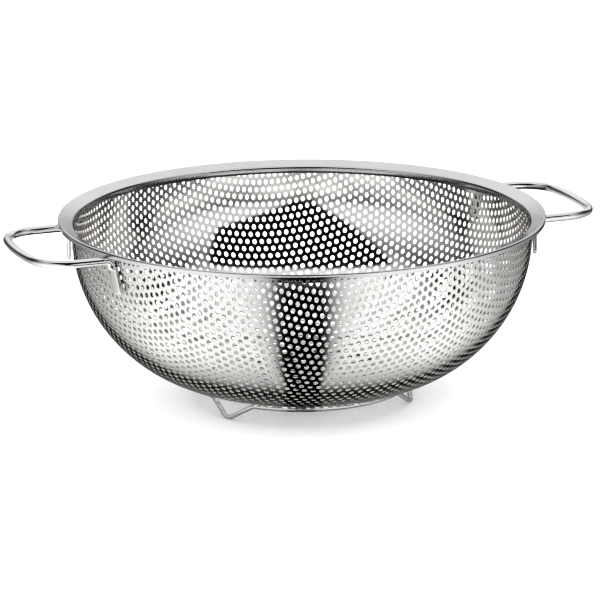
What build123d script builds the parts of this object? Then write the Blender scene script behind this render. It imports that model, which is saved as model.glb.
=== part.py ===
from build123d import *
import os
from math import asin, atan, atan2, cos, degrees, hypot, pi, radians, sin, sqrt, tan

# Colander: a deep drawn bowl of perforated sheet, a rim band folded over its
# flange, two wire loop handles and a wire ring with three V feet.
# Millimetres, +Z up. The origin is on the table, on the axis of the bowl, and
# the two handles point along +X and -X.

# Bowl
wall_radius = 132.5          # outside of the straight wall under the rim
wall_height = 6.0            # from the end of the corner arc to the flange
corner_center_r = 42.5       # from the axis to the middle of the arc under the wall
crown_radius = 240.0         # outside of the shallow bottom
sheet = 0.7                  # thickness of the perforated sheet

# Perforation, laid out on the flat blank before it is drawn
hole_pitch = 21.0            # between neighbouring holes of the 60 degree stagger
open_share = 0.38            # open part of the perforated area
stagger_turn = -13.0         # degrees from +X to a close row of holes
hole_sides = 4
hole_overrun = 1.0           # how far a hole's cutter reaches past the sheet
plain_margin = 2.0           # sheet left plain below the flange

# Rim band, a folded strip
rim_overhang = 7.5           # how far the rim stands out from the wall
rim_slope = 21.4             # degrees that the rim's face rises outwards
band = 0.5                   # thickness of the strip
fold_gap = 0.1               # between the strip and the sheet inside it
skirt_height = 3.6           # strip inside the bowl, below the corner
lip_end_gap = 2.2            # from the wall to the strip's end under the flange
fold_share = 0.3             # bevel of the outer fold, as a share of its depth

# Handles
handle_wire = 4.8            # diameter
wire_sides = 8               # of the section that stands for a round wire
grip_clearance = 30.6        # from the rim's edge to the middle of the grip
handle_half_span = 41.6      # middle of each side bar, from the handle's middle
grip_corner_radius = 21.0    # middle of the wire
leg_bend_radius = 5.0        # middle of the wire
handle_drop = 2.25           # middle of the wire below the flange's inner corner
leg_length = 18.6            # from the middle of the side bar to the leg's end
leg_width = 7.4              # of the flattened end
leg_thickness = 2.4
leg_stub = 1.0               # straight round wire between the bend and the shoulder
shoulder = 3.0               # length over which the round wire turns flat

# Base ring
foot_wire = 2.8              # diameter
ring_inset = 7.4             # from the crown's edge in to the middle of the wire
foot_count = 3
foot_turn = -33.0            # degrees from +X to the foot after the wire's joint
foot_half_span = 16.5        # from the foot's middle to its upper bend
foot_lead = 3.5              # straight wire between the ring's arc and that bend
foot_drop = 9.1              # from the ring to the sharp corner of the V
foot_bend_radius = 8.0       # upper bends, middle of the wire
foot_tip_radius = 5.0        # bottom bend, middle of the wire
foot_flat = 0.2              # depth of the small level face under each foot
butt_gap = 0.3               # between the two ends of the ring's wire
butt_share = 0.32            # place of that joint between two feet

weld_gap = 0.05              # between a round wire and the bowl it is welded to
overrun = 5.0                # how far a cutting solid reaches past what it cuts


# Radii that follow from the wall's, so that the rim, arcs and ring go with it
rim_radius = wall_radius + rim_overhang
handle_reach = rim_radius + grip_clearance
corner_radius = wall_radius - corner_center_r
crown_angle = asin(corner_center_r / (crown_radius - corner_radius))
ring_radius = crown_radius * sin(crown_angle) - ring_inset

# The foot's V, from which every height above the table follows
foot_angle = atan((foot_half_span + foot_lead) / ring_radius)
foot_lean = foot_half_span * sin(foot_angle)
foot_slant = hypot(foot_drop, foot_lean)
foot_half_turn = atan(foot_slant / (foot_half_span * cos(foot_angle)))
tip_lift = foot_tip_radius * (1 / cos(foot_half_turn) - 1) * foot_drop / foot_slant
ring_z = foot_drop - tip_lift + foot_wire / 2 - foot_flat

# The bowl stands on the ring
crown_seat = crown_radius + foot_wire / 2 + weld_gap
crown_center_z = ring_z + sqrt(crown_seat ** 2 - ring_radius ** 2)
corner_center_z = crown_center_z - (crown_radius - corner_radius) * cos(crown_angle)
seam_z = corner_center_z + wall_height / 2
flange_z = corner_center_z + wall_height

# Lengths along the bowl's outside, from the axis to the flange
crown_length = crown_radius * crown_angle
corner_length = corner_radius * (pi / 2 - crown_angle)
perforated_length = crown_length + corner_length + wall_height - plain_margin

# A hole has the area that its cell of the stagger and the open share give it
row_gap = hole_pitch * sqrt(3) / 2
hole_area = open_share * hole_pitch * row_gap
hole_radius = sqrt(2 * hole_area / (hole_sides * sin(2 * pi / hole_sides)))

# The rim's face is a cone; depths are measured square to it, downwards
slope = radians(rim_slope)
rim_thickness = 2 * band + 2 * fold_gap + sheet
band_depth = band / 2
sheet_depth = rim_thickness / 2
lip_depth = rim_thickness - band / 2
fold_bevel = (rim_thickness - band) * fold_share
skirt_r = wall_radius - sheet - fold_gap - band / 2

# The sheet's middle meets the flange here
flange_corner_r = wall_radius - sheet / 2
face_z = flange_z + sheet_depth / cos(slope)


def rim_point(along, depth):
    """Radius and height of a point along the rim's face and below it."""
    r = flange_corner_r + along * cos(slope) + depth * sin(slope)
    z = face_z + along * sin(slope) - depth * cos(slope)
    return r, z


def along_at(r, depth):
    """How far along the rim's face a point at this radius and depth lies."""
    return (r - flange_corner_r - depth * sin(slope)) / cos(slope)


# The sheet ends here, half the rim's thickness inside its outer fold
fold_along = along_at(rim_radius - rim_thickness / 2, rim_thickness / 2)

# The handle's wire and its flattened ends
bar_z = flange_z - handle_drop
leg_r = wall_radius + handle_wire / 2 + weld_gap
leg_turn = asin(handle_half_span / leg_r)
shoulder_z = bar_z - leg_bend_radius - leg_stub
flat_top_z = shoulder_z - shoulder
leg_end_z = bar_z - leg_length


def bowl_point(length):
    """Radius, height and tilt of the bowl's outside at a length from its axis."""
    if length < crown_length:
        tilt = length / crown_radius
        return crown_radius * sin(tilt), crown_center_z - crown_radius * cos(tilt), tilt
    if length < crown_length + corner_length:
        tilt = crown_angle + (length - crown_length) / corner_radius
        r = corner_center_r + corner_radius * sin(tilt)
        return r, corner_center_z - corner_radius * cos(tilt), tilt
    return wall_radius, corner_center_z + length - crown_length - corner_length, pi / 2


def full_turn(face):
    """The solid that a face drawn in radius and height makes around Z."""
    return revolve(Plane.XZ * face, axis=Axis.Z)


def bowl_face(outset, top_z):
    """Half section of the filled bowl, with its outside moved out by outset."""
    crown = crown_radius + outset
    corner = corner_radius + outset
    half_crown = crown_angle / 2
    half_corner = (crown_angle + pi / 2) / 2
    bottom = (0, crown_center_z - crown)
    crown_mid = (crown * sin(half_crown), crown_center_z - crown * cos(half_crown))
    knee = (crown * sin(crown_angle), crown_center_z - crown * cos(crown_angle))
    corner_mid_r = corner_center_r + corner * sin(half_corner)
    corner_mid = (corner_mid_r, corner_center_z - corner * cos(half_corner))
    brow = (corner_center_r + corner, corner_center_z)
    edges = ThreePointArc(bottom, crown_mid, knee).edges()
    edges += ThreePointArc(knee, corner_mid, brow).edges()
    edges += Polyline(brow, (corner_center_r + corner, top_z), (0, top_z), bottom).edges()
    return make_face(edges)


def hole_places():
    """Middles of the holes on the blank, in rows of a 60 degree stagger."""
    reach = int(perforated_length / row_gap) + 1
    places = []
    for row in range(-reach, reach + 1):
        for step in range(-2 * reach, 2 * reach + 1):
            x = hole_pitch * (step + row / 2)
            y = row_gap * row
            if hypot(x, y) < perforated_length - hole_radius:
                places.append((x, y))
    return places


def hole_cutter(x, y):
    """The cutter for the hole whose middle lies at x, y on the flat blank.

    Drawing the bowl keeps lengths away from the axis and squeezes the sheet
    around it, so a hole near the rim is taller than it is wide.
    """
    length = hypot(x, y)
    blank_turn = atan2(y, x)
    around = blank_turn + radians(stagger_turn)
    r, z, tilt = bowl_point(length)
    squeeze = r / length if length else 1
    corners = []
    for side in range(hole_sides):
        turn = (side + 1 / 2) * 2 * pi / hole_sides - blank_turn
        corners.append((hole_radius * sin(turn) * squeeze, hole_radius * cos(turn)))
    outward = Vector(sin(tilt) * cos(around), sin(tilt) * sin(around), -cos(tilt))
    sideways = Vector(-sin(around), cos(around), 0)
    middle = Vector(r * cos(around), r * sin(around), z)
    inner = middle - outward * (sheet + hole_overrun)
    plane = Plane(origin=inner, x_dir=sideways, z_dir=outward)
    section = plane * Polygon(*corners, align=None)
    return extrude(section, amount=sheet + 2 * hole_overrun, dir=outward)


def make_bowl():
    """The drawn sheet with its flange and its perforation."""
    shell = full_turn(bowl_face(0, seam_z) - bowl_face(-sheet, seam_z + overrun))
    foot = (flange_corner_r, seam_z)
    corner = (flange_corner_r, flange_z)
    edge = rim_point(fold_along, sheet_depth)
    flange = full_turn(trace(Polyline(foot, corner, edge), sheet))
    cutters = [hole_cutter(x, y) for x, y in hole_places()]
    return (shell + flange).cut(*cutters)


def make_rim_band():
    """The strip that is folded over the flange and down inside the bowl."""
    corner = rim_point(along_at(skirt_r, band_depth), band_depth)
    fold_edge = fold_along + (rim_thickness - band) / 2
    path = Polyline(
        (skirt_r, corner[1] - skirt_height),
        corner,
        rim_point(fold_edge - fold_bevel, band_depth),
        rim_point(fold_edge, band_depth + fold_bevel),
        rim_point(fold_edge, lip_depth - fold_bevel),
        rim_point(fold_edge - fold_bevel, lip_depth),
        rim_point(along_at(wall_radius + lip_end_gap, lip_depth), lip_depth),
    )
    return full_turn(trace(path, band))


def wire_section(path, radius):
    """The section of a wire, square to its path at the path's start."""
    return Plane(origin=path @ 0, z_dir=path % 0) * RegularPolygon(radius, wire_sides)


def make_grip():
    """The round wire of the handle on +X, from one leg's shoulder to the other's."""
    inner = handle_reach - grip_corner_radius
    corner_y = handle_half_span - grip_corner_radius
    corner_x = sqrt(inner ** 2 - corner_y ** 2)
    turn = atan2(corner_y, corner_x)
    half = (turn + pi / 2) / 2
    leg_x = leg_r * cos(leg_turn)
    bar_end = (corner_x, handle_half_span, bar_z)
    bend_x = corner_x + grip_corner_radius * cos(half)
    bend_y = corner_y + grip_corner_radius * sin(half)
    grip_end = (handle_reach * cos(turn), handle_reach * sin(turn), bar_z)
    bar = FilletPolyline(
        (leg_x, handle_half_span, shoulder_z),
        (leg_x, handle_half_span, bar_z),
        bar_end,
        radius=leg_bend_radius,
    )
    side = bar.edges() + ThreePointArc(bar_end, (bend_x, bend_y, bar_z), grip_end).edges()
    far_side = [found for edge in side for found in mirror(edge, about=Plane.XZ).edges()]
    grip_start = (grip_end[0], -grip_end[1], bar_z)
    grip = ThreePointArc(grip_end, (handle_reach, 0, bar_z), grip_start)
    path = Wire([*side, *grip.edges(), *far_side])
    return sweep(wire_section(path, handle_wire / 2), path=path)


def make_leg(side, wall_jacket):
    """A flattened leg and the shoulder above it; side is 1 on +Y and -1 on -Y."""
    half_width = leg_width / 2
    round_z = leg_end_z + half_width
    outline = Polyline((-half_width, round_z), (-half_width, flat_top_z)).edges()
    outline += Polyline((-half_width, flat_top_z), (half_width, flat_top_z)).edges()
    outline += Polyline((half_width, flat_top_z), (half_width, round_z)).edges()
    outline += ThreePointArc((half_width, round_z), (0, leg_end_z), (-half_width, round_z)).edges()
    strip = extrude(Plane.YZ * make_face(outline), amount=wall_radius + overrun)
    flat_plane = Pos(wall_radius + weld_gap + leg_thickness / 2, 0, flat_top_z)
    round_plane = Pos(leg_r, 0, shoulder_z)
    flat_end = flat_plane * Rectangle(leg_thickness, leg_width)
    round_end = round_plane * RegularPolygon(handle_wire / 2, wire_sides)
    turn = Rot(0, 0, side * degrees(leg_turn))
    return turn * loft([flat_end, round_end]) + (turn * strip & wall_jacket)


def make_handle():
    """The handle on +X: a bent wire whose two ends are pressed flat on the wall."""
    wall_jacket = full_turn(bowl_face(leg_thickness, seam_z) - bowl_face(0, seam_z + overrun))
    return make_grip() + make_leg(1, wall_jacket) + make_leg(-1, wall_jacket)


def foot_edges(turn):
    """Middle of the wire along one V foot, from one end of its arc to the next."""
    tip = ring_radius / cos(foot_angle)
    near_x = ring_radius * cos(foot_angle)
    near_y = ring_radius * sin(foot_angle)
    bend_x = near_x + foot_lead * sin(foot_angle)
    bend_y = near_y - foot_lead * cos(foot_angle)
    path = FilletPolyline(
        (near_x, -near_y, ring_z),
        (bend_x, -bend_y, ring_z),
        (tip, 0, ring_z - foot_drop),
        (bend_x, bend_y, ring_z),
        (near_x, near_y, ring_z),
        radius=[foot_bend_radius, foot_tip_radius, foot_bend_radius],
    )
    return (Rot(0, 0, turn) * path).edges()


def make_base_ring():
    """One wire bent into the ring and its feet, with its two ends butted."""
    foot_step = 360 / foot_count
    half_foot = degrees(foot_angle)
    end_turn = degrees(butt_gap / 2 / ring_radius)
    first = (1 - butt_share) * foot_step
    edges = []
    start = end_turn
    for foot in range(foot_count):
        middle = first + foot * foot_step
        edges += CenterArc((0, 0, ring_z), ring_radius, start, middle - half_foot - start).edges()
        edges += foot_edges(middle)
        start = middle + half_foot
    edges += CenterArc((0, 0, ring_z), ring_radius, start, 360 - end_turn - start).edges()
    path = Wire(edges)
    below = Pos(0, 0, -overrun) * Cylinder(2 * ring_radius, 2 * overrun)
    ring = sweep(wire_section(path, foot_wire / 2), path=path) - below
    return Rot(0, 0, foot_turn - first) * ring


def write(part, node):
    """Write one node as a STEP file."""
    export_step(part, "parts/" + node + ".step")


os.makedirs("parts", exist_ok=True)
handle = make_handle()
write(make_bowl(), "perforated_bowl")
write(make_rim_band(), "rim_band")
write(handle, "right_handle")
write(Rot(0, 0, 180) * handle, "left_handle")
write(make_base_ring(), "base_ring")
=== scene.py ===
import math

import bmesh
import bpy
import numpy as np
from mathutils import Matrix, Quaternion, Vector


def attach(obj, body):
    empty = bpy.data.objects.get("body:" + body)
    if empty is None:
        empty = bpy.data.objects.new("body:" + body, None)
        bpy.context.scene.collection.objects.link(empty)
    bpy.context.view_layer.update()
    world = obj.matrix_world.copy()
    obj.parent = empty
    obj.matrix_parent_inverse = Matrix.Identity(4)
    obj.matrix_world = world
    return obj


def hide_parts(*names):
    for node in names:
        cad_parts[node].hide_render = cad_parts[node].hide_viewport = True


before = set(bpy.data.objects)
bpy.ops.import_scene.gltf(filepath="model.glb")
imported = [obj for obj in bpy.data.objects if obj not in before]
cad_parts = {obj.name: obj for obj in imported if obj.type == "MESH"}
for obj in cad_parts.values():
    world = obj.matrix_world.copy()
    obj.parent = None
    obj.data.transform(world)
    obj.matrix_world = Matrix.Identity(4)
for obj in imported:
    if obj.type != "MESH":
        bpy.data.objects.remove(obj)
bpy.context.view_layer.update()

MM = 0.001
FULL_TURN = 2 * math.pi

# Bowl, in millimetres as in the part's source
WALL_RADIUS = 132.5          # outside of the upright wall
CORNER_RADIUS = 90.0         # large corner between the crown and the wall
CROWN_RADIUS = 240.0         # shallow crown in the middle
SHEET = 0.7
WALL_HEIGHT = 6.0
CROWN_CENTER_Z = 243.1408
CORNER_CENTER_Z = 99.2876
FLANGE_Z = CORNER_CENTER_Z + WALL_HEIGHT
CORNER_CENTER_R = WALL_RADIUS - CORNER_RADIUS
CROWN_ANGLE = math.asin(CORNER_CENTER_R / (CROWN_RADIUS - CORNER_RADIUS))
FLANGE_BEND = 0.8            # outside of the sheet, where the wall turns into the flange

# Perforation, in millimetres on the flat blank
PITCH = 5.24
HOLE_RADIUS = 1.6
STAGGER_TURN = math.radians(-10.11)
STAGGER_SHIFT = (2.25, 0.49)
EDGE_MARGIN = 0.75 * PITCH   # from the last holes' middles to the sheet's edge
OUTER_ROUND = 0.14           # rounded edge that the punch left outside
INNER_ROUND = 0.08
CELL_SIDES = 6               # a hole's cell is six-sided
CELL_STEP = 60               # degrees between its corners
CELL_START = -30
EDGE_PARTS = 2               # points along one side of a cell
KEYS_PER_MM = 1000           # points that agree to a thousandth are one point
BOWL_PIECES = 4

# Rim band, in millimetres
RIM_RADIUS = 140.0
RIM_SLOPE = math.radians(21.4)
BAND = 0.5
FOLD_GAP = 0.1
SKIRT_HEIGHT = 3.6
LIP_END_GAP = 2.2
INNER_BEND = 1.4             # middle of the strip, where the band turns down into its skirt
OUTER_BEND = 0.6993          # middle of the strip, at both bends of its outer edge
EDGE_DROP = 2.85             # upright outer edge, between the corners of its bends
RIM_THICKNESS = 2 * BAND + 2 * FOLD_GAP + SHEET
SKIRT_R = WALL_RADIUS - SHEET - FOLD_GAP - BAND / 2
FLANGE_CORNER_R = WALL_RADIUS - SHEET / 2
SHEET_DEPTH = RIM_THICKNESS / 2
FACE_Z = FLANGE_Z + SHEET_DEPTH / math.cos(RIM_SLOPE)
STRIP_END_TURNS = (60, 30, 0, -30, -60)      # degrees round a rounded end of the strip
STRIP_END_DEPTH = 0.6                        # its depth against half the strip's thickness
RIM_STEPS = 320
BEND_STEP = math.radians(10)
LEAST_BEND_PARTS = 3

# Handles, in millimetres
HANDLE_WIRE = 4.8
HANDLE_REACH = 170.58
HANDLE_HALF_SPAN = 41.6
GRIP_CORNER_RADIUS = 21.0
LEG_BEND_RADIUS = 3.0
BAR_Z = 103.0376
LEG_END_Z = 84.4376
LEG_WIDTH = 7.4
LEG_THICKNESS = 2.4
LEG_CLEARANCE = 0.4
LEG_SPLAY = 5.0              # how far the leg's end leans away from the grip's middle
LEG_CORNER = 1.2             # rounding of the cut end's corners
LEG_SQUARE = 1.6             # squareness of the pressed part, 0 for a round wire
SHOULDER = 3.0               # height over which the pressed part turns back into round wire
WELD_GAP = 0.05
HANDLE_SIDES = 32
CUT_TURNS = (4, 12, 22, 34, 48, 64, 80)      # degrees round the cut end's corners
CUT_SHARE = 0.62                             # the cut end's thickness against the leg's
FLAT_RINGS, BEND_RINGS, BAR_RINGS, CORNER_RINGS, GRIP_RINGS = 6, 13, 4, 22, 9

# Base ring, in millimetres
FOOT_WIRE = 2.8
RING_RADIUS = 60.6
RING_Z = 9.4193
FOOT_COUNT = 3
FOOT_TURN = math.radians(-33.0)
FOOT_HALF_SPAN = 16.5
FOOT_LEAD = 3.5
FOOT_DROP = 9.1
FOOT_BEND_RADIUS = 8.0
FOOT_TIP_RADIUS = 5.0
BUTT_GAP = 0.3
BUTT_SHARE = 0.32            # where the wire's ends meet between two feet
RING_SIDES = 20
FOOT_STEP = math.radians(6)
ARC_STEP = 2.0
LEAST_ARC_POINTS = 4

# Shading
SHARP_ANGLE = math.radians(40)
CLOUD_SCALE, CLOUD_DETAIL = 45.0, 3.0
GRAIN_DETAIL = 6.0
GLOSS_SPREAD = 0.25          # share by which the clouds change the roughness
TINT_RANGE = (0.94, 1.04)    # and the colour
BUMP_DEPTH = 0.00004         # metres
MIX_A, MIX_B, MIX_RESULT = 6, 7, 2           # a Mix node's colour sockets
NEW_STOP = 0.5               # where a stop of a tone curve stands until it is placed

# View, in degrees, metres and pixels of a frame 600 wide
VIEW_TURN = -110.31
VIEW_RISE = 13.706
VIEW_ROLL = -0.391
VIEW_DISTANCE = 2.3168
FOCAL_PIXELS = 4033.6
FRAME_PIXELS = 600
RIM_SEEN = (301.87, 213.39)  # pixel at which the middle of the rim shows
RIM_TOP = 0.10894            # and its height
SENSOR = 36.0
FAR_CLIP = 100

# Tones between black and white, and how light they are shown: the photograph's hard contrast
CONTRAST = ((0.02, 0.003), (0.136, 0.06), (0.209, 0.14),
            (0.392, 0.37), (0.546, 0.535), (0.783, 0.8))
ALL_TONES = 3                # the curve that red, green and blue share

# Stage, in metres and watts
FLOOR_REACH = 6
FLOOR_WHITE, FLOOR_ROUGH = 0.92, 0.8
SKY_STRENGTH = 2.1
KEY_PLACE = (0.0, -0.3, 1.8) # right, away and up, as the camera sees it
KEY_SIZE = 1.2
KEY_POWER = 6
SURROUND_RADIUS = 4.0
SURROUND_COLUMNS, SURROUND_RINGS = 48, 12
# height of the glowing plane that paints the table's reflection
PAINTED_TABLE_Z = 0.0004
# near-black of the upright shape that paints a dark reflection on the bowl
PAINTED_DARK_TONE, CARD_ROUGH = 0.01, 0.9
CARD_AWAY = -0.9             # on the camera's side of the colander
CARD_OUTLINE = ((-0.12, 0.0), (0.06, 0.0), (0.1, 0.2), (0.35, 0.33), (1.05, 0.6), (2.1, 2.2),
                (1.2, 1.9), (0.6, 1.75), (0.0, 1.7), (-0.6, 1.75), (-1.2, 1.9), (-1.95, 2.1),
                (-0.52, 0.55), (-0.13, 0.22))

# The table's painted reflection, as places and their light: painted shade below the bowl and a dark
# slit in front
PARABOLA_WIDTH = 0.19        # metres; the painted shade below the bowl ends in a parabola
PARABOLA_DEPTH = 0.2
SLIT_START = -0.09           # metres; a painted dark reflection, a slit, leads from there straight to the front
SLIT_HALF_WIDTH = 0.010
SLIT_LEAST = 0.004           # the least way ahead, so that nothing is divided by 0
# Share of the parabola's depth
TABLE_BELOW = ((0.0, 0.4), (0.15, 0.3), (0.27, 0.22), (0.36, 0.1), (0.41, 0.03), (0.44, 0.1),
               (0.475, 0.3), (0.52, 0.6), (0.62, 1.0), (0.75, 1.25))
# Degrees from the front
TABLE_ASIDE = ((0, 0.85), (35, 0.95), (50, 1.0), (62, 1.0), (75, 0.78), (90, 0.56), (100, 0.42),
               (120, 0.29), (136, 0.16), (180, 0.12))
TABLE_BACK = ((146, 0.0), (163, 0.6), (180, 0.7))
# Way beside the slit against the way ahead, metres ahead, and metres from the bowl's axis
TABLE_SLIT = ((0.0, 0.003), (0.12, 0.004), (0.19, 0.1), (0.28, 0.4), (0.4, 0.75), (0.65, 1.0))
TABLE_SLIT_END = ((0.46, 0.0), (0.485, 1.0))
TABLE_CLEAR = ((0.1, 0.0), (0.15, 1.0))

# And the walls' painted reflection: degrees from the front
WALL_LOW = ((0, 0.25), (30, 0.62), (45, 0.5), (58, 0.38), (75, 0.16), (100, 0.04), (150, 0.05),
            (165, 0.9), (180, 1.0))
WALL_HIGH = ((0, 0.75), (59, 0.78), (80, 0.45), (100, 0.2), (115, 0.12), (130, 0.3), (145, 1.0),
             (180, 1.05))
WALL_AHEAD = ((110, 1.0), (140, 0.0))
# Height against the dome's radius
WALL_RISE = ((0.03, 0.0), (0.12, 0.45), (0.26, 1.0))
WALL_FADE = ((0.35, 1.0), (0.55, 0.4))
WALL_TOP = ((0.6, 0.0), (0.82, 0.7))
WALL_HORIZON = ((0.01, 0.05), (0.04, 0.3), (0.07, 0.52), (0.2, 0.58), (0.4, 0.95))
WALL_CEILING = ((0.84, 0.0), (0.96, 1.0))
CEILING_LIGHT = 0.85


def away_vector():
    """Level unit vector from the camera to the colander."""
    turn = math.radians(VIEW_TURN)
    return Vector((-math.cos(turn), -math.sin(turn), 0))


def place(right, away, up):
    """A point given by the way the camera sees it: right, away from it and up, in metres."""
    ahead = away_vector()
    side = Vector((ahead.y, -ahead.x, 0))
    return side * right + ahead * away + Vector((0, 0, up))


def make_camera():
    """The camera, at the photograph's viewing angle."""
    turn, rise = math.radians(VIEW_TURN), math.radians(VIEW_RISE)
    back = Vector((math.cos(rise) * math.cos(turn), math.cos(rise) * math.sin(turn),
                   math.sin(rise)))
    data = bpy.data.cameras.new("view")
    data.sensor_width = SENSOR
    data.lens = SENSOR * FOCAL_PIXELS / FRAME_PIXELS
    data.clip_end = FAR_CLIP
    camera = bpy.data.objects.new("view", data)
    bpy.context.scene.collection.objects.link(camera)
    camera.location = Vector((0, 0, RIM_TOP)) + VIEW_DISTANCE * back
    half = FRAME_PIXELS / 2
    seen = Vector((RIM_SEEN[0] - half, half - RIM_SEEN[1], -FOCAL_PIXELS)).normalized()
    aim = seen.rotation_difference(Vector((0, 0, -1)))
    roll = Quaternion((0, 0, 1), math.radians(VIEW_ROLL))
    camera.rotation_mode = "QUATERNION"
    camera.rotation_quaternion = (-back).to_track_quat("-Z", "Y") @ roll @ aim
    bpy.context.scene.camera = camera


def new_piece(name, points, faces, material, nodes, normals=None):
    """A mesh piece from points in millimetres, riding on the colander's one body."""
    mesh = bpy.data.meshes.new(name)
    points = np.asarray(points, float) * MM
    faces = np.asarray(faces, np.int64)
    sides = faces.shape[1]
    mesh.vertices.add(len(points))
    mesh.vertices.foreach_set("co", points.astype(np.float32).ravel())
    mesh.loops.add(faces.size)
    mesh.loops.foreach_set("vertex_index", faces.astype(np.int32).ravel())
    mesh.polygons.add(len(faces))
    mesh.polygons.foreach_set("loop_start", np.arange(0, faces.size, sides, dtype=np.int32))
    mesh.update(calc_edges=True)
    mesh.validate()
    mesh.polygons.foreach_set("use_smooth", np.ones(len(mesh.polygons), bool))
    if normals is not None:
        mesh.normals_split_custom_set_from_vertices(np.asarray(normals, float).tolist())
    else:
        mesh.set_sharp_from_angle(angle=SHARP_ANGLE)
    mesh.materials.append(material)
    piece = bpy.data.objects.new(name, mesh)
    bpy.context.scene.collection.objects.link(piece)
    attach(piece, "root")
    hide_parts(*nodes)
    return piece


# The bowl's outside as radius, height and tilt against the length on the blank
CROWN_LENGTH = CROWN_RADIUS * CROWN_ANGLE
CORNER_LENGTH = CORNER_RADIUS * (math.pi / 2 - CROWN_ANGLE)
BEND_ANGLE = math.pi / 2 - RIM_SLOPE
BEND_TANGENT = FLANGE_BEND * math.tan(BEND_ANGLE / 2)
OUTSIDE_CORNER_Z = (FLANGE_Z + SHEET / 2 * (1 - math.sin(RIM_SLOPE)) * math.tan(RIM_SLOPE)
                    - SHEET / 2 * math.cos(RIM_SLOPE))
WALL_TOP_Z = OUTSIDE_CORNER_Z - BEND_TANGENT
WALL_LENGTH = CROWN_LENGTH + CORNER_LENGTH + WALL_TOP_Z - CORNER_CENTER_Z
BEND_LENGTH = WALL_LENGTH + FLANGE_BEND * BEND_ANGLE


def bowl_line(length):
    """Radius, height and tilt of the bowl's outside at lengths from its axis."""
    on_crown = length / CROWN_RADIUS
    on_corner = CROWN_ANGLE + (length - CROWN_LENGTH) / CORNER_RADIUS
    on_wall = CORNER_CENTER_Z + length - CROWN_LENGTH - CORNER_LENGTH
    bent = np.clip(length - WALL_LENGTH, 0, FLANGE_BEND * BEND_ANGLE) / FLANGE_BEND
    past = np.maximum(length - BEND_LENGTH, 0)
    bend_r = WALL_RADIUS + FLANGE_BEND * (1 - np.cos(bent)) + past * math.cos(RIM_SLOPE)
    bend_z = WALL_TOP_Z + FLANGE_BEND * np.sin(bent) + past * math.sin(RIM_SLOPE)
    where = [length < CROWN_LENGTH, length < CROWN_LENGTH + CORNER_LENGTH, length < WALL_LENGTH]
    r = np.select(where, [CROWN_RADIUS * np.sin(on_crown),
                          CORNER_CENTER_R + CORNER_RADIUS * np.sin(on_corner),
                          np.full_like(length, WALL_RADIUS)], bend_r)
    z = np.select(where, [CROWN_CENTER_Z - CROWN_RADIUS * np.cos(on_crown),
                          CORNER_CENTER_Z - CORNER_RADIUS * np.cos(on_corner), on_wall], bend_z)
    tilt = np.select(where, [on_crown, on_corner, np.full_like(length, math.pi / 2)],
                     math.pi / 2 - bent)
    return r, z, tilt


def drawn(blank):
    """Points and outward normals on the bowl's outside for points of the flat blank."""
    length = np.hypot(blank[..., 0], blank[..., 1])
    around = np.arctan2(blank[..., 1], blank[..., 0]) + STAGGER_TURN
    r, z, tilt = bowl_line(length)
    point = np.stack([r * np.cos(around), r * np.sin(around), z], -1)
    normal = np.stack([np.sin(tilt) * np.cos(around), np.sin(tilt) * np.sin(around),
                       -np.cos(tilt)], -1)
    return point, normal


def hole_centers(limit):
    """Middles of all holes of the 60 degree stagger within a length of the axis."""
    row_gap = PITCH * math.sqrt(3) / 2
    reach = int(limit / row_gap) + 2
    row, step = np.meshgrid(np.arange(-reach, reach + 1), np.arange(-2 * reach, 2 * reach + 1))
    x = PITCH * (step + row / 2) + STAGGER_SHIFT[0]
    y = row_gap * row + STAGGER_SHIFT[1]
    centers = np.stack([x.ravel(), y.ravel()], -1)
    return centers[np.hypot(centers[:, 0], centers[:, 1]) < limit]


def cell_outline():
    """Points round the six-sided cell of one hole, and their directions for the hole."""
    reach = PITCH / math.sqrt(3)
    corners = []
    for corner in range(CELL_SIDES + 1):
        turn = math.radians(CELL_STEP * corner + CELL_START)
        corners.append((reach * math.cos(turn), reach * math.sin(turn)))
    outline = []
    for start, end in zip(corners, corners[1:]):
        for part in range(EDGE_PARTS):
            share = part / EDGE_PARTS
            outline.append([start[0] + (end[0] - start[0]) * share,
                            start[1] + (end[1] - start[1]) * share])
    count = len(outline)
    turn = np.radians(CELL_START) + np.arange(count) * FULL_TURN / count
    return np.array(outline), np.stack([np.cos(turn), np.sin(turn)], -1)


def shared(points):
    """Numbers the blank's points so that neighbouring cells share theirs."""
    keys = np.round(points.reshape(-1, 2) * KEYS_PER_MM).astype(np.int64)
    _, first, number = np.unique(keys, axis=0, return_index=True, return_inverse=True)
    return points.reshape(-1, 2)[first], number.reshape(points.shape[:2])


def lone_edges(number):
    """Sides of cells that no other cell of the piece shares."""
    start = number.ravel()
    end = np.roll(number, -1, axis=1).ravel()
    keys = np.stack([np.minimum(start, end), np.maximum(start, end)], -1)
    _, inverse, counts = np.unique(keys, axis=0, return_inverse=True, return_counts=True)
    lone = counts[inverse.ravel()] == 1
    return start[lone], end[lone]


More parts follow.
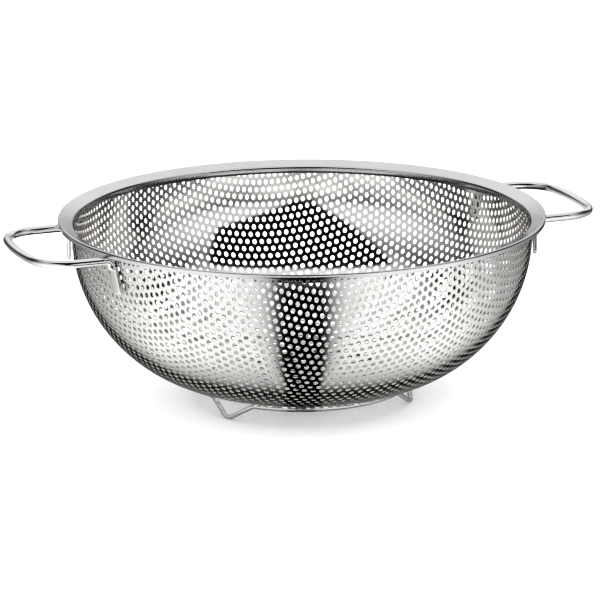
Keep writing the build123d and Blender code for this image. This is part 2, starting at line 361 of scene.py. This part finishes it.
def bowl_piece(name, centers, material):
    """One share of the perforated sheet, with both faces and the walls of its holes."""
    outline, rays = cell_outline()
    count, sides = len(centers), len(outline)
    border, number = shared(centers[:, None, :] + outline[None])
    wide = centers[:, None, :] + rays[None] * (HOLE_RADIUS + OUTER_ROUND)
    tight = centers[:, None, :] + rays[None] * HOLE_RADIUS
    back = centers[:, None, :] + rays[None] * (HOLE_RADIUS + INNER_ROUND)
    border_point, border_normal = drawn(border)
    wide_point, wide_normal = drawn(wide)
    tight_point, tight_normal = drawn(tight)
    back_point, back_normal = drawn(back)
    middle_point, _ = drawn(centers)
    inward = middle_point[:, None, :] - tight_point
    inward -= (inward * tight_normal).sum(-1, keepdims=True) * tight_normal
    inward /= np.linalg.norm(inward, axis=-1, keepdims=True)
    layers = [
        (wide_point, wide_normal),
        (tight_point - tight_normal * OUTER_ROUND, inward),
        (tight_point - tight_normal * (SHEET - INNER_ROUND), inward),
        (back_point - back_normal * SHEET, -back_normal),
    ]
    points = [border_point, border_point - border_normal * SHEET]
    normals = [border_normal, -border_normal]
    rings = []
    offset = 2 * len(border)
    for layer_points, layer_normals in layers:
        rings.append(offset + np.arange(count * sides).reshape(count, sides))
        points.append(layer_points.reshape(-1, 3))
        normals.append(layer_normals.reshape(-1, 3))
        offset += count * sides
    rings = [number, *rings, number + len(border)]
    faces = []
    for ring, after in zip(rings, rings[1:]):
        ring_next = np.roll(ring, -1, axis=1)
        after_next = np.roll(after, -1, axis=1)
        faces.append(np.stack([ring, after, after_next, ring_next], -1).reshape(-1, 4))
    start, end = lone_edges(number)
    faces.append(np.stack([start, end, end + len(border), start + len(border)], -1))
    return new_piece(name, np.concatenate(points), np.concatenate(faces), material,
                     ["perforated_bowl"], np.concatenate(normals))


def make_bowl(material):
    """The perforated bowl, in shares small enough for one mesh each."""
    flange_end = BEND_LENGTH + (RIM_RADIUS - RIM_THICKNESS - WALL_RADIUS) / math.cos(RIM_SLOPE)
    centers = hole_centers(flange_end - EDGE_MARGIN)
    turn = np.arctan2(centers[:, 1], centers[:, 0]) / FULL_TURN % 1
    for share in range(BOWL_PIECES):
        inside = (turn * BOWL_PIECES).astype(int) % BOWL_PIECES == share
        bowl_piece(f"bowl_sheet_{share + 1}", centers[inside], material)


def rounded_line(corners, radii, step):
    """Points and directions along a line through corners, each rounded by its radius."""
    corners = [np.array(c, float) for c in corners]
    points, ways = [corners[0]], []
    first_way = corners[1] - corners[0]
    ways.append(first_way / np.linalg.norm(first_way))
    for before, corner, after, radius in zip(corners, corners[1:], corners[2:], radii):
        way_in = (corner - before) / np.linalg.norm(corner - before)
        way_out = (after - corner) / np.linalg.norm(after - corner)
        turn = math.acos(max(-1, min(1, float(way_in @ way_out))))
        tangent = radius * math.tan(turn / 2)
        start = corner - way_in * tangent
        side = way_out - way_in * float(way_in @ way_out)
        side /= np.linalg.norm(side)
        center = start + side * radius
        parts = max(LEAST_BEND_PARTS, int(turn / step))
        for part in range(parts + 1):
            angle = turn * part / parts
            points.append(center - side * radius * math.cos(angle)
                          + way_in * radius * math.sin(angle))
            ways.append(way_in * math.cos(angle) + side * math.sin(angle))
    points.append(corners[-1])
    ways.append(ways[-1])
    return np.array(points), np.array(ways)


def spun(name, profile, material, nodes, steps):
    """A closed ring that a closed profile in radius and height makes around the axis."""
    turn = np.arange(steps) * FULL_TURN / steps
    r, z = profile[:, 0], profile[:, 1]
    points = np.stack([np.outer(np.cos(turn), r), np.outer(np.sin(turn), r),
                       np.broadcast_to(z, (steps, len(z)))], -1).reshape(-1, 3)
    index = np.arange(steps * len(r)).reshape(steps, len(r))
    after = np.roll(index, -1, axis=0)
    faces = np.stack([index, after, np.roll(after, -1, 1), np.roll(index, -1, 1)], -1)
    return new_piece(name, points, faces.reshape(-1, 4), material, nodes)


def rim_point(along, depth):
    """Radius and height of a point along the rim's face and below it."""
    r = FLANGE_CORNER_R + along * math.cos(RIM_SLOPE) + depth * math.sin(RIM_SLOPE)
    z = FACE_Z + along * math.sin(RIM_SLOPE) - depth * math.cos(RIM_SLOPE)
    return r, z


def along_at(r, depth):
    """How far along the rim's face a point at this radius and depth lies."""
    return (r - FLANGE_CORNER_R - depth * math.sin(RIM_SLOPE)) / math.cos(RIM_SLOPE)


def make_rim_band(material):
    """The strip folded over the flange, with its upright outer edge and its skirt."""
    half = BAND / 2
    lip_depth = RIM_THICKNESS - half
    corner = rim_point(along_at(SKIRT_R, half), half)
    outer = rim_point(along_at(RIM_RADIUS - half, half), half)
    corners = [
        (SKIRT_R, corner[1] - SKIRT_HEIGHT),
        corner,
        outer,
        (outer[0], outer[1] - EDGE_DROP),
        rim_point(along_at(WALL_RADIUS + LIP_END_GAP, lip_depth), lip_depth),
    ]
    line, ways = rounded_line(corners, [INNER_BEND, OUTER_BEND, OUTER_BEND], BEND_STEP)
    across = np.stack([-ways[:, 1], ways[:, 0]], -1)
    caps = []
    for point, way, side in ((line[-1], ways[-1], across[-1]), (line[0], -ways[0], -across[0])):
        caps.append([point + half * (math.sin(turn) * side + math.cos(turn) * way * STRIP_END_DEPTH)
                     for turn in np.radians(STRIP_END_TURNS)])
    profile = np.concatenate([line + half * across, caps[0], (line - half * across)[::-1], caps[1]])
    return spun("rim_band_folded", profile[::-1], material, ["rim_band"], RIM_STEPS)


def tube(points, ways, wide, thick, width_way, square, sides):
    """Rings of a wire, each a section with its own half width, half thickness and squareness."""
    turn = np.arange(sides) * FULL_TURN / sides
    thick_way = np.cross(ways, width_way)
    thick_way /= np.linalg.norm(thick_way, axis=1, keepdims=True)
    width_way = np.cross(thick_way, ways)
    power = 2 / (2 + square)
    c = np.sign(np.cos(turn))[None] * np.abs(np.cos(turn))[None] ** power[:, None]
    s = np.sign(np.sin(turn))[None] * np.abs(np.sin(turn))[None] ** power[:, None]
    return (points[:, None, :] + (wide[:, None] * c)[..., None] * width_way[:, None, :]
            + (thick[:, None] * s)[..., None] * thick_way[:, None, :])


def ring_faces(rings, sides):
    """Faces between neighbouring rings of a wire."""
    index = np.arange(rings * sides).reshape(rings, sides)
    here, after = index[:-1], index[1:]
    faces = np.stack([here, np.roll(here, -1, 1), np.roll(after, -1, 1), after], -1)
    return faces.reshape(-1, 4)


def fill_ends(piece):
    """Closes the open ends of a wire and points its faces outwards."""
    work = bmesh.new()
    work.from_mesh(piece.data)
    open_edges = [e for e in work.edges if e.is_boundary]
    if open_edges:
        bmesh.ops.holes_fill(work, edges=open_edges, sides=0)
    bmesh.ops.recalc_face_normals(work, faces=work.faces)
    work.to_mesh(piece.data)
    work.free()
    piece.data.polygons.foreach_set("use_smooth", np.ones(len(piece.data.polygons), bool))
    piece.data.set_sharp_from_angle(angle=SHARP_ANGLE)
    return piece


def leg_place(turn, z, half_thickness):
    """Middle of the flat leg at a height: it touches the wall at its top and splays below."""
    top_z = BAR_Z - LEG_BEND_RADIUS
    r = WALL_RADIUS + LEG_CLEARANCE + half_thickness
    splay = LEG_SPLAY * (top_z - z) / (top_z - LEG_END_Z)
    return np.stack([r * math.cos(turn) - splay * math.sin(turn),
                     r * math.sin(turn) + splay * math.cos(turn), z], -1)


def leg_sections():
    """Heights, half widths, half thicknesses and squareness from the leg's cut end upwards."""
    wire = HANDLE_WIRE / 2
    half_width, half_thick = LEG_WIDTH / 2, LEG_THICKNESS / 2
    flat_z = BAR_Z - LEG_BEND_RADIUS - SHOULDER
    cut = np.sin(np.radians(CUT_TURNS))
    cut_z = LEG_END_Z + LEG_CORNER * (1 - np.cos(np.radians(CUT_TURNS)))
    cut_wide = half_width - LEG_CORNER + LEG_CORNER * cut
    cut_thick = half_thick * np.minimum(1, CUT_SHARE + (1 - CUT_SHARE) * cut)
    flat_rings = np.ones(FLAT_RINGS)
    rise = np.linspace(0, 1, BEND_RINGS)[1:]
    ease = rise * rise * (3 - 2 * rise)
    z = np.concatenate([cut_z, np.linspace(LEG_END_Z + LEG_CORNER, flat_z, FLAT_RINGS),
                        flat_z + SHOULDER * rise])
    wide = np.concatenate([cut_wide, half_width * flat_rings,
                           half_width + (wire - half_width) * ease])
    thick = np.concatenate([cut_thick, half_thick * flat_rings,
                            half_thick + (wire - half_thick) * ease])
    pressed = len(cut) + FLAT_RINGS
    square = np.concatenate([np.full(pressed, LEG_SQUARE), LEG_SQUARE * (1 - ease)])
    return z, wide, thick, square, pressed


def loop_line(leg_x):
    """Line of half a handle on +X, from its leg's bend to the grip's middle."""
    inner = HANDLE_REACH - GRIP_CORNER_RADIUS
    corner_y = HANDLE_HALF_SPAN - GRIP_CORNER_RADIUS
    corner_x = math.sqrt(inner ** 2 - corner_y ** 2)
    corner_turn = math.atan2(corner_y, corner_x)

    def level(x, y):
        return np.stack([x, np.broadcast_to(y, x.shape), np.full(len(x), BAR_Z)], -1)

    bend = np.radians(np.linspace(0, 90, BEND_RINGS))
    up = level(leg_x + LEG_BEND_RADIUS * (1 - np.cos(bend)), HANDLE_HALF_SPAN)
    up[:, 2] -= LEG_BEND_RADIUS * (1 - np.sin(bend))
    bar = np.linspace(leg_x + LEG_BEND_RADIUS, corner_x, BAR_RINGS + 2)[1:-1]
    swing = np.linspace(math.pi / 2, corner_turn, CORNER_RINGS)
    sweep = np.linspace(corner_turn, 0, GRIP_RINGS + 1)[1:]
    return np.concatenate([
        up,
        level(bar, HANDLE_HALF_SPAN),
        level(corner_x + GRIP_CORNER_RADIUS * np.cos(swing),
              corner_y + GRIP_CORNER_RADIUS * np.sin(swing)),
        level(HANDLE_REACH * np.cos(sweep), HANDLE_REACH * np.sin(sweep)),
    ])


def carried_along(ways, start):
    """A direction across a wire, carried along it with no twist."""
    carried, across = start, np.empty_like(ways)
    for k, way in enumerate(ways):
        carried = carried - way * float(carried @ way)
        carried = carried / np.linalg.norm(carried)
        across[k] = carried
    return across


def half_handle():
    """Rings of half a handle on +X, from a leg's end to the grip's middle."""
    wire = HANDLE_WIRE / 2
    leg_r = WALL_RADIUS + wire + WELD_GAP
    turn = math.asin(HANDLE_HALF_SPAN / leg_r)
    z, wide, thick, square, pressed = leg_sections()
    off_wall = np.concatenate([np.full(pressed, LEG_THICKNESS / 2), thick[pressed:]])
    leg = leg_place(turn, z, off_wall)[:-1]
    loop = loop_line(leg_r * math.cos(turn))
    line = np.concatenate([leg, loop])
    ways = np.gradient(line, axis=0)
    ways[-1] = (0, -1, 0)
    ways /= np.linalg.norm(ways, axis=1, keepdims=True)
    tangential = np.array([-math.sin(turn), math.cos(turn), 0])
    width_way = np.concatenate([np.tile(tangential, (len(leg), 1)),
                                carried_along(ways[len(leg):], tangential)])
    wide = np.concatenate([wide[:-1], np.full(len(loop), wire)])
    thick = np.concatenate([thick[:-1], np.full(len(loop), wire)])
    square = np.concatenate([square[:-1], np.zeros(len(loop))])
    return tube(line, ways, wide, thick, width_way, square, HANDLE_SIDES)


def make_handle(name, node, sign, material):
    """One handle: a wire bent to a grip, its ends pressed flat on the wall."""
    half = half_handle()
    other = half[::-1].copy()
    other[..., 1] *= -1
    # The mirrored half's sections run the other way round, so their points are matched
    first = half[-1]
    match = [int(np.argmin(np.linalg.norm(other[0] - point, axis=1))) for point in first]
    other = other[:, match]
    rings = np.concatenate([half, other[1:]])
    rings[..., 0] *= sign
    rings[..., 1] *= sign
    points = rings.reshape(-1, 3)
    piece = new_piece(name, points, ring_faces(len(rings), HANDLE_SIDES), material,
                      [node])
    return fill_ends(piece)


def foot_line(turn):
    """Line of one V foot from one end of its arc to the next."""
    angle = math.atan((FOOT_HALF_SPAN + FOOT_LEAD) / RING_RADIUS)
    near = np.array([RING_RADIUS * math.cos(angle), RING_RADIUS * math.sin(angle)])
    bend = np.array([near[0] + FOOT_LEAD * math.sin(angle), near[1] - FOOT_LEAD * math.cos(angle)])
    corners = [
        (near[0], -near[1], RING_Z),
        (bend[0], -bend[1], RING_Z),
        (RING_RADIUS / math.cos(angle), 0, RING_Z - FOOT_DROP),
        (bend[0], bend[1], RING_Z),
        (near[0], near[1], RING_Z),
    ]
    line, ways = rounded_line(corners, [FOOT_BEND_RADIUS, FOOT_TIP_RADIUS, FOOT_BEND_RADIUS],
                              FOOT_STEP)
    spin = np.array(Matrix.Rotation(turn, 3, "Z"))
    return line @ spin.T, ways @ spin.T, angle


def arc_line(start, end):
    """Line and directions of the ring between two angles."""
    count = max(LEAST_ARC_POINTS, int((end - start) * RING_RADIUS / ARC_STEP))
    turn = np.linspace(start, end, count)
    line = np.stack([RING_RADIUS * np.cos(turn), RING_RADIUS * np.sin(turn),
                     np.full(count, RING_Z)], -1)
    return line, np.stack([-np.sin(turn), np.cos(turn), np.zeros(count)], -1)


def make_base_ring(material):
    """The wire ring with its feet, from one end of the wire to the other."""
    step = FULL_TURN / FOOT_COUNT
    first = (1 - BUTT_SHARE) * step
    end_turn = BUTT_GAP / 2 / RING_RADIUS
    runs = []
    start = end_turn
    for foot in range(FOOT_COUNT):
        middle = first + foot * step
        foot_points, foot_ways, angle = foot_line(middle)
        runs += [arc_line(start, middle - angle), (foot_points[1:-1], foot_ways[1:-1])]
        start = middle + angle
    runs.append(arc_line(start, FULL_TURN - end_turn))
    spin = np.array(Matrix.Rotation(FOOT_TURN - first, 3, "Z"))
    line = np.concatenate([points for points, _ in runs]) @ spin.T
    ways = np.concatenate([ways for _, ways in runs]) @ spin.T
    width_way = carried_along(ways, np.array([0.0, 0.0, 1.0]))
    half = np.full(len(line), FOOT_WIRE / 2)
    rings = tube(line, ways, half, half, width_way, np.zeros(len(line)), RING_SIDES)
    points = rings.reshape(-1, 3)
    points[:, 2] = np.maximum(points[:, 2], 0)
    piece = new_piece("base_ring_wire", points, ring_faces(len(rings), RING_SIDES), material,
                      ["base_ring"])
    return fill_ends(piece)


def noise(tree, place, scale, detail):
    """A noise of a scale and detail, over the object's own coordinates."""
    texture = tree.nodes.new("ShaderNodeTexNoise")
    texture.inputs["Scale"].default_value = scale
    texture.inputs["Detail"].default_value = detail
    tree.links.new(place, texture.inputs["Vector"])
    return texture.outputs["Fac"]


def steel(name, color, rough, grain, grain_scale, bump, metal=1.0):
    """Stainless steel: a fine polishing grain, a cloudy gloss and colour, and a fine bump."""
    material = bpy.data.materials.new(name)
    material.use_nodes = True
    tree = material.node_tree
    nodes, links = tree.nodes, tree.links
    shader = nodes["Principled BSDF"]
    shader.inputs["Metallic"].default_value = metal
    place_on = nodes.new("ShaderNodeTexCoord").outputs["Object"]
    fine = noise(tree, place_on, grain_scale, GRAIN_DETAIL)
    cloud = noise(tree, place_on, CLOUD_SCALE, CLOUD_DETAIL)
    gloss = nodes.new("ShaderNodeMapRange")
    gloss.inputs["To Min"].default_value = rough * (1 - GLOSS_SPREAD)
    gloss.inputs["To Max"].default_value = rough * (1 + GLOSS_SPREAD)
    links.new(cloud, gloss.inputs["Value"])
    mixed = nodes.new("ShaderNodeMath")
    mixed.operation = "MULTIPLY_ADD"
    mixed.inputs[1].default_value = grain
    links.new(fine, mixed.inputs[0])
    links.new(gloss.outputs["Result"], mixed.inputs[2])
    links.new(mixed.outputs[0], shader.inputs["Roughness"])
    tint = nodes.new("ShaderNodeMix")
    tint.data_type = "RGBA"
    for socket, share in zip((MIX_A, MIX_B), TINT_RANGE):
        tint.inputs[socket].default_value = (*(min(1, c * share) for c in color), 1)
    links.new(cloud, tint.inputs[0])
    links.new(tint.outputs[MIX_RESULT], shader.inputs["Base Color"])
    raised = nodes.new("ShaderNodeBump")
    raised.inputs["Strength"].default_value = bump
    raised.inputs["Distance"].default_value = BUMP_DEPTH
    links.new(fine, raised.inputs["Height"])
    links.new(raised.outputs["Normal"], shader.inputs["Normal"])
    return material


def plain(name, tone, rough):
    """A plain grey material without gloss, for a piece of the stage."""
    material = bpy.data.materials.new(name)
    material.use_nodes = True
    shader = material.node_tree.nodes["Principled BSDF"]
    shader.inputs["Base Color"].default_value = (tone, tone, tone, 1)
    shader.inputs["Roughness"].default_value = rough
    shader.inputs["Specular IOR Level"].default_value = 0.0
    return material


def make_floor():
    """The plain pale floor."""
    reach = FLOOR_REACH
    mesh = bpy.data.meshes.new("floor")
    mesh.from_pydata([(-reach, -reach, 0), (reach, -reach, 0), (reach, reach, 0),
                      (-reach, reach, 0)], [], [(0, 1, 2, 3)])
    mesh.materials.append(plain("floor_white", FLOOR_WHITE, FLOOR_ROUGH))
    piece = bpy.data.objects.new("floor", mesh)
    bpy.context.scene.collection.objects.link(piece)


def softbox(name, where, aim, size, power):
    """A soft square light that shines from one point to another and isn't mirrored."""
    data = bpy.data.lights.new(name, "AREA")
    data.shape = "SQUARE"
    data.size = size
    data.energy = power
    light = bpy.data.objects.new(name, data)
    bpy.context.scene.collection.objects.link(light)
    light.location = where
    light.rotation_mode = "QUATERNION"
    light.rotation_quaternion = (aim - where).to_track_quat("-Z", "Y")
    light.visible_glossy = False


def tone_curve(tree, value, stops):
    """Tones over a value between 0 and 1, in straight lines from stop to stop."""
    curve = tree.nodes.new("ShaderNodeValToRGB")
    curve.color_ramp.interpolation = "LINEAR"
    points = curve.color_ramp.elements
    while len(points) < len(stops):
        points.new(NEW_STOP)
    for point, (where, tone) in zip(points, stops):
        point.position = where
        point.color = (tone, tone, tone, 1)
    tree.links.new(value, curve.inputs["Fac"])
    return curve.outputs["Color"]


def combined(tree, kind, first, second):
    """The result of one arithmetic step on two values."""
    step = tree.nodes.new("ShaderNodeMath")
    step.operation = kind
    for socket, value in zip(step.inputs, (first, second)):
        if isinstance(value, (int, float)):
            socket.default_value = value
        else:
            tree.links.new(value, socket)
    return step.outputs[0]


def glowing(name):
    """An empty glow material: its tree, its place, its turn from the front, its strength."""
    material = bpy.data.materials.new(name)
    material.use_nodes = True
    tree = material.node_tree
    tree.nodes.clear()
    output = tree.nodes.new("ShaderNodeOutputMaterial")
    glow = tree.nodes.new("ShaderNodeEmission")
    tree.links.new(glow.outputs[0], output.inputs["Surface"])
    spot = tree.nodes.new("ShaderNodeTexCoord")
    split = tree.nodes.new("ShaderNodeSeparateXYZ")
    tree.links.new(spot.outputs["Object"], split.inputs[0])
    x, y, z = split.outputs
    turn = combined(tree, "ARCTAN2", x, combined(tree, "MULTIPLY", y, -1.0))
    around = combined(tree, "DIVIDE", combined(tree, "ABSOLUTE", turn, 0.0), math.pi)
    return material, tree, (x, y, z), around, glow.inputs["Strength"]


def by_degrees(stops):
    """Tone stops given in degrees from the front, as shares of a half turn."""
    return [(degrees / 180, tone) for degrees, tone in stops]


def multiplied(tree, *values):
    """The product of several values."""
    product = values[0]
    for value in values[1:]:
        product = combined(tree, "MULTIPLY", product, value)
    return product


def paint_table_reflection():
    """A painted reflection of the lit table, a glow that lights nothing: painted shade below the
    bowl, behind it and in front.
    """
    material, tree, (x, y, _), around, strength = glowing("table_reflection_paint")
    x_squared = combined(tree, "MULTIPLY", x, x)
    spread = combined(tree, "DIVIDE", x_squared, PARABOLA_WIDTH)
    share = combined(tree, "DIVIDE", combined(tree, "SUBTRACT", spread, y), PARABOLA_DEPTH)
    below = tone_curve(tree, share, TABLE_BELOW)
    aside = tone_curve(tree, around, by_degrees(TABLE_ASIDE))
    ahead = combined(tree, "MAXIMUM", combined(tree, "SUBTRACT", SLIT_START, y), SLIT_LEAST)
    off_middle = combined(tree, "ABSOLUTE", x, 0.0)
    beside = combined(tree, "SUBTRACT", off_middle, SLIT_HALF_WIDTH)
    wedge = combined(tree, "DIVIDE", combined(tree, "MAXIMUM", beside, 0.0), ahead)
    slit = combined(tree, "MAXIMUM", tone_curve(tree, wedge, TABLE_SLIT),
                    tone_curve(tree, ahead, TABLE_SLIT_END))
    front = multiplied(tree, below, aside, slit)
    squares = combined(tree, "ADD", x_squared, combined(tree, "MULTIPLY", y, y))
    from_axis = combined(tree, "SQRT", squares, 0.0)
    rear = multiplied(tree, tone_curve(tree, from_axis, TABLE_CLEAR),
                      tone_curve(tree, around, by_degrees(TABLE_BACK)))
    tree.links.new(combined(tree, "ADD", front, rear), strength)
    return material


def painted_wall_reflection():
    """A painted reflection of the studio walls, a glow that lights nothing: dim low at the sides,
    pale above.
    """
    material, tree, (_, _, z), around, strength = glowing("painted_wall_reflection")
    height = combined(tree, "DIVIDE", z, SURROUND_RADIUS)
    low = tone_curve(tree, around, by_degrees(WALL_LOW))
    high = tone_curve(tree, around, by_degrees(WALL_HIGH))
    ahead = tone_curve(tree, around, by_degrees(WALL_AHEAD))
    behind = combined(tree, "SUBTRACT", 1.0, ahead)
    rise = tone_curve(tree, height, WALL_RISE)
    fade = tone_curve(tree, height, WALL_FADE)
    top = tone_curve(tree, height, WALL_TOP)
    horizon = tone_curve(tree, height, WALL_HORIZON)
    ceiling = tone_curve(tree, height, WALL_CEILING)
    lower = multiplied(tree, low, combined(tree, "SUBTRACT", 1.0, rise))
    upper = multiplied(tree, high, rise, combined(tree, "MAXIMUM", fade, behind))
    sides = multiplied(tree, combined(tree, "ADD", lower, upper),
                       combined(tree, "MAXIMUM", horizon, ahead))
    walls = combined(tree, "ADD", sides, multiplied(tree, top, ahead))
    open_wall = multiplied(tree, walls, combined(tree, "SUBTRACT", 1.0, ceiling))
    overhead = multiplied(tree, ceiling, CEILING_LIGHT)
    tree.links.new(combined(tree, "ADD", open_wall, overhead), strength)
    return material


def mirrored_piece(name, points, faces, material):
    """A piece of the stage that only reflections show: its X is right and its Y away."""
    mesh = bpy.data.meshes.new(name)
    mesh.from_pydata(points, [], faces)
    mesh.materials.append(material)
    piece = bpy.data.objects.new(name, mesh)
    right = place(1, 0, 0)
    piece.rotation_euler = (0, 0, math.atan2(right.y, right.x))
    bpy.context.scene.collection.objects.link(piece)
    for ray in ("camera", "diffuse", "transmission", "shadow"):
        setattr(piece, "visible_" + ray, False)


def make_painted_dome():
    """A dome of pale walls that glows with their painted reflection and lights nothing."""
    points, faces = [], []
    for ring in range(SURROUND_RINGS + 1):
        rise = ring * math.pi / 2 / SURROUND_RINGS
        for column in range(SURROUND_COLUMNS):
            turn = column * FULL_TURN / SURROUND_COLUMNS
            points.append((SURROUND_RADIUS * math.cos(rise) * math.cos(turn),
                           SURROUND_RADIUS * math.cos(rise) * math.sin(turn),
                           SURROUND_RADIUS * math.sin(rise)))
            if ring < SURROUND_RINGS:
                here, above = ring * SURROUND_COLUMNS, (ring + 1) * SURROUND_COLUMNS
                after = (column + 1) % SURROUND_COLUMNS
                faces.append((here + column, here + after, above + after, above + column))
    mirrored_piece("painted_reflection_dome", points, faces, painted_wall_reflection())


def make_painted_table():
    """The table's light as a painted reflection, just above the floor."""
    reach, z = SURROUND_RADIUS, PAINTED_TABLE_Z
    mirrored_piece("painted_table_plane", [(-reach, -reach, z), (reach, -reach, z), (reach, reach, z),
                                      (-reach, reach, z)], [(0, 1, 2, 3)], paint_table_reflection())


def make_dark_reflection_card():
    """The dark upright shape on the camera's side, a painted dark reflection that only the bowl's
    far wall mirrors.
    """
    mirrored_piece("camera_side", [(x, CARD_AWAY, z) for x, z in CARD_OUTLINE],
                   [tuple(range(len(CARD_OUTLINE)))],
                   plain("painted_dark_reflection", PAINTED_DARK_TONE, CARD_ROUGH))


def make_sky():
    """Even white light from all sides."""
    world = bpy.data.worlds.new("studio")
    world.use_nodes = True
    sky = world.node_tree.nodes["Background"]
    sky.inputs["Color"].default_value = (1.0, 1.0, 1.0, 1)
    sky.inputs["Strength"].default_value = SKY_STRENGTH
    bpy.context.scene.world = world


def make_stage():
    """Pale floor and soft white studio, and the painted reflections that the polished steel shows.
    """
    make_floor()
    make_sky()
    softbox("key_above", place(*KEY_PLACE), Vector((0, 0, 0)), KEY_SIZE, KEY_POWER)
    make_painted_table()
    make_painted_dome()
    make_dark_reflection_card()


def set_contrast():
    """The photograph's hard contrast, as one curve over all tones from black to white."""
    view = bpy.context.scene.view_settings
    view.view_transform = "Standard"
    view.use_curve_mapping = True
    curve = view.curve_mapping.curves[ALL_TONES]
    for tone, shown in CONTRAST:
        curve.points.new(tone, shown)
    view.curve_mapping.update()


make_camera()
make_stage()
bowl_steel = steel("bowl_polished", (0.82, 0.81, 0.795), rough=0.08, grain=0.04,
                   grain_scale=900.0, bump=0.25)
rim_steel = steel("rim_satin", (0.69, 0.69, 0.705), rough=0.09, grain=0.06,
                  grain_scale=1200.0, bump=0.35)
wire_steel = steel("wire_polished", (0.84, 0.835, 0.825), rough=0.08, grain=0.06,
                   grain_scale=1200.0, bump=0.3)
# A lighter, less metallic copy of the wire's steel: painted light, so that the ring under the bowl
# looks as bright as the lit wire.
ring_brightened_steel = steel("ring_painted_bright", (0.95, 0.945, 0.935), rough=0.16, grain=0.06,
                   grain_scale=1200.0, bump=0.3, metal=0.85)
make_bowl(bowl_steel)
make_rim_band(rim_steel)
make_handle("right_handle_wire", "right_handle", 1, wire_steel)
make_handle("left_handle_wire", "left_handle", -1, wire_steel)
make_base_ring(ring_brightened_steel)

set_contrast()
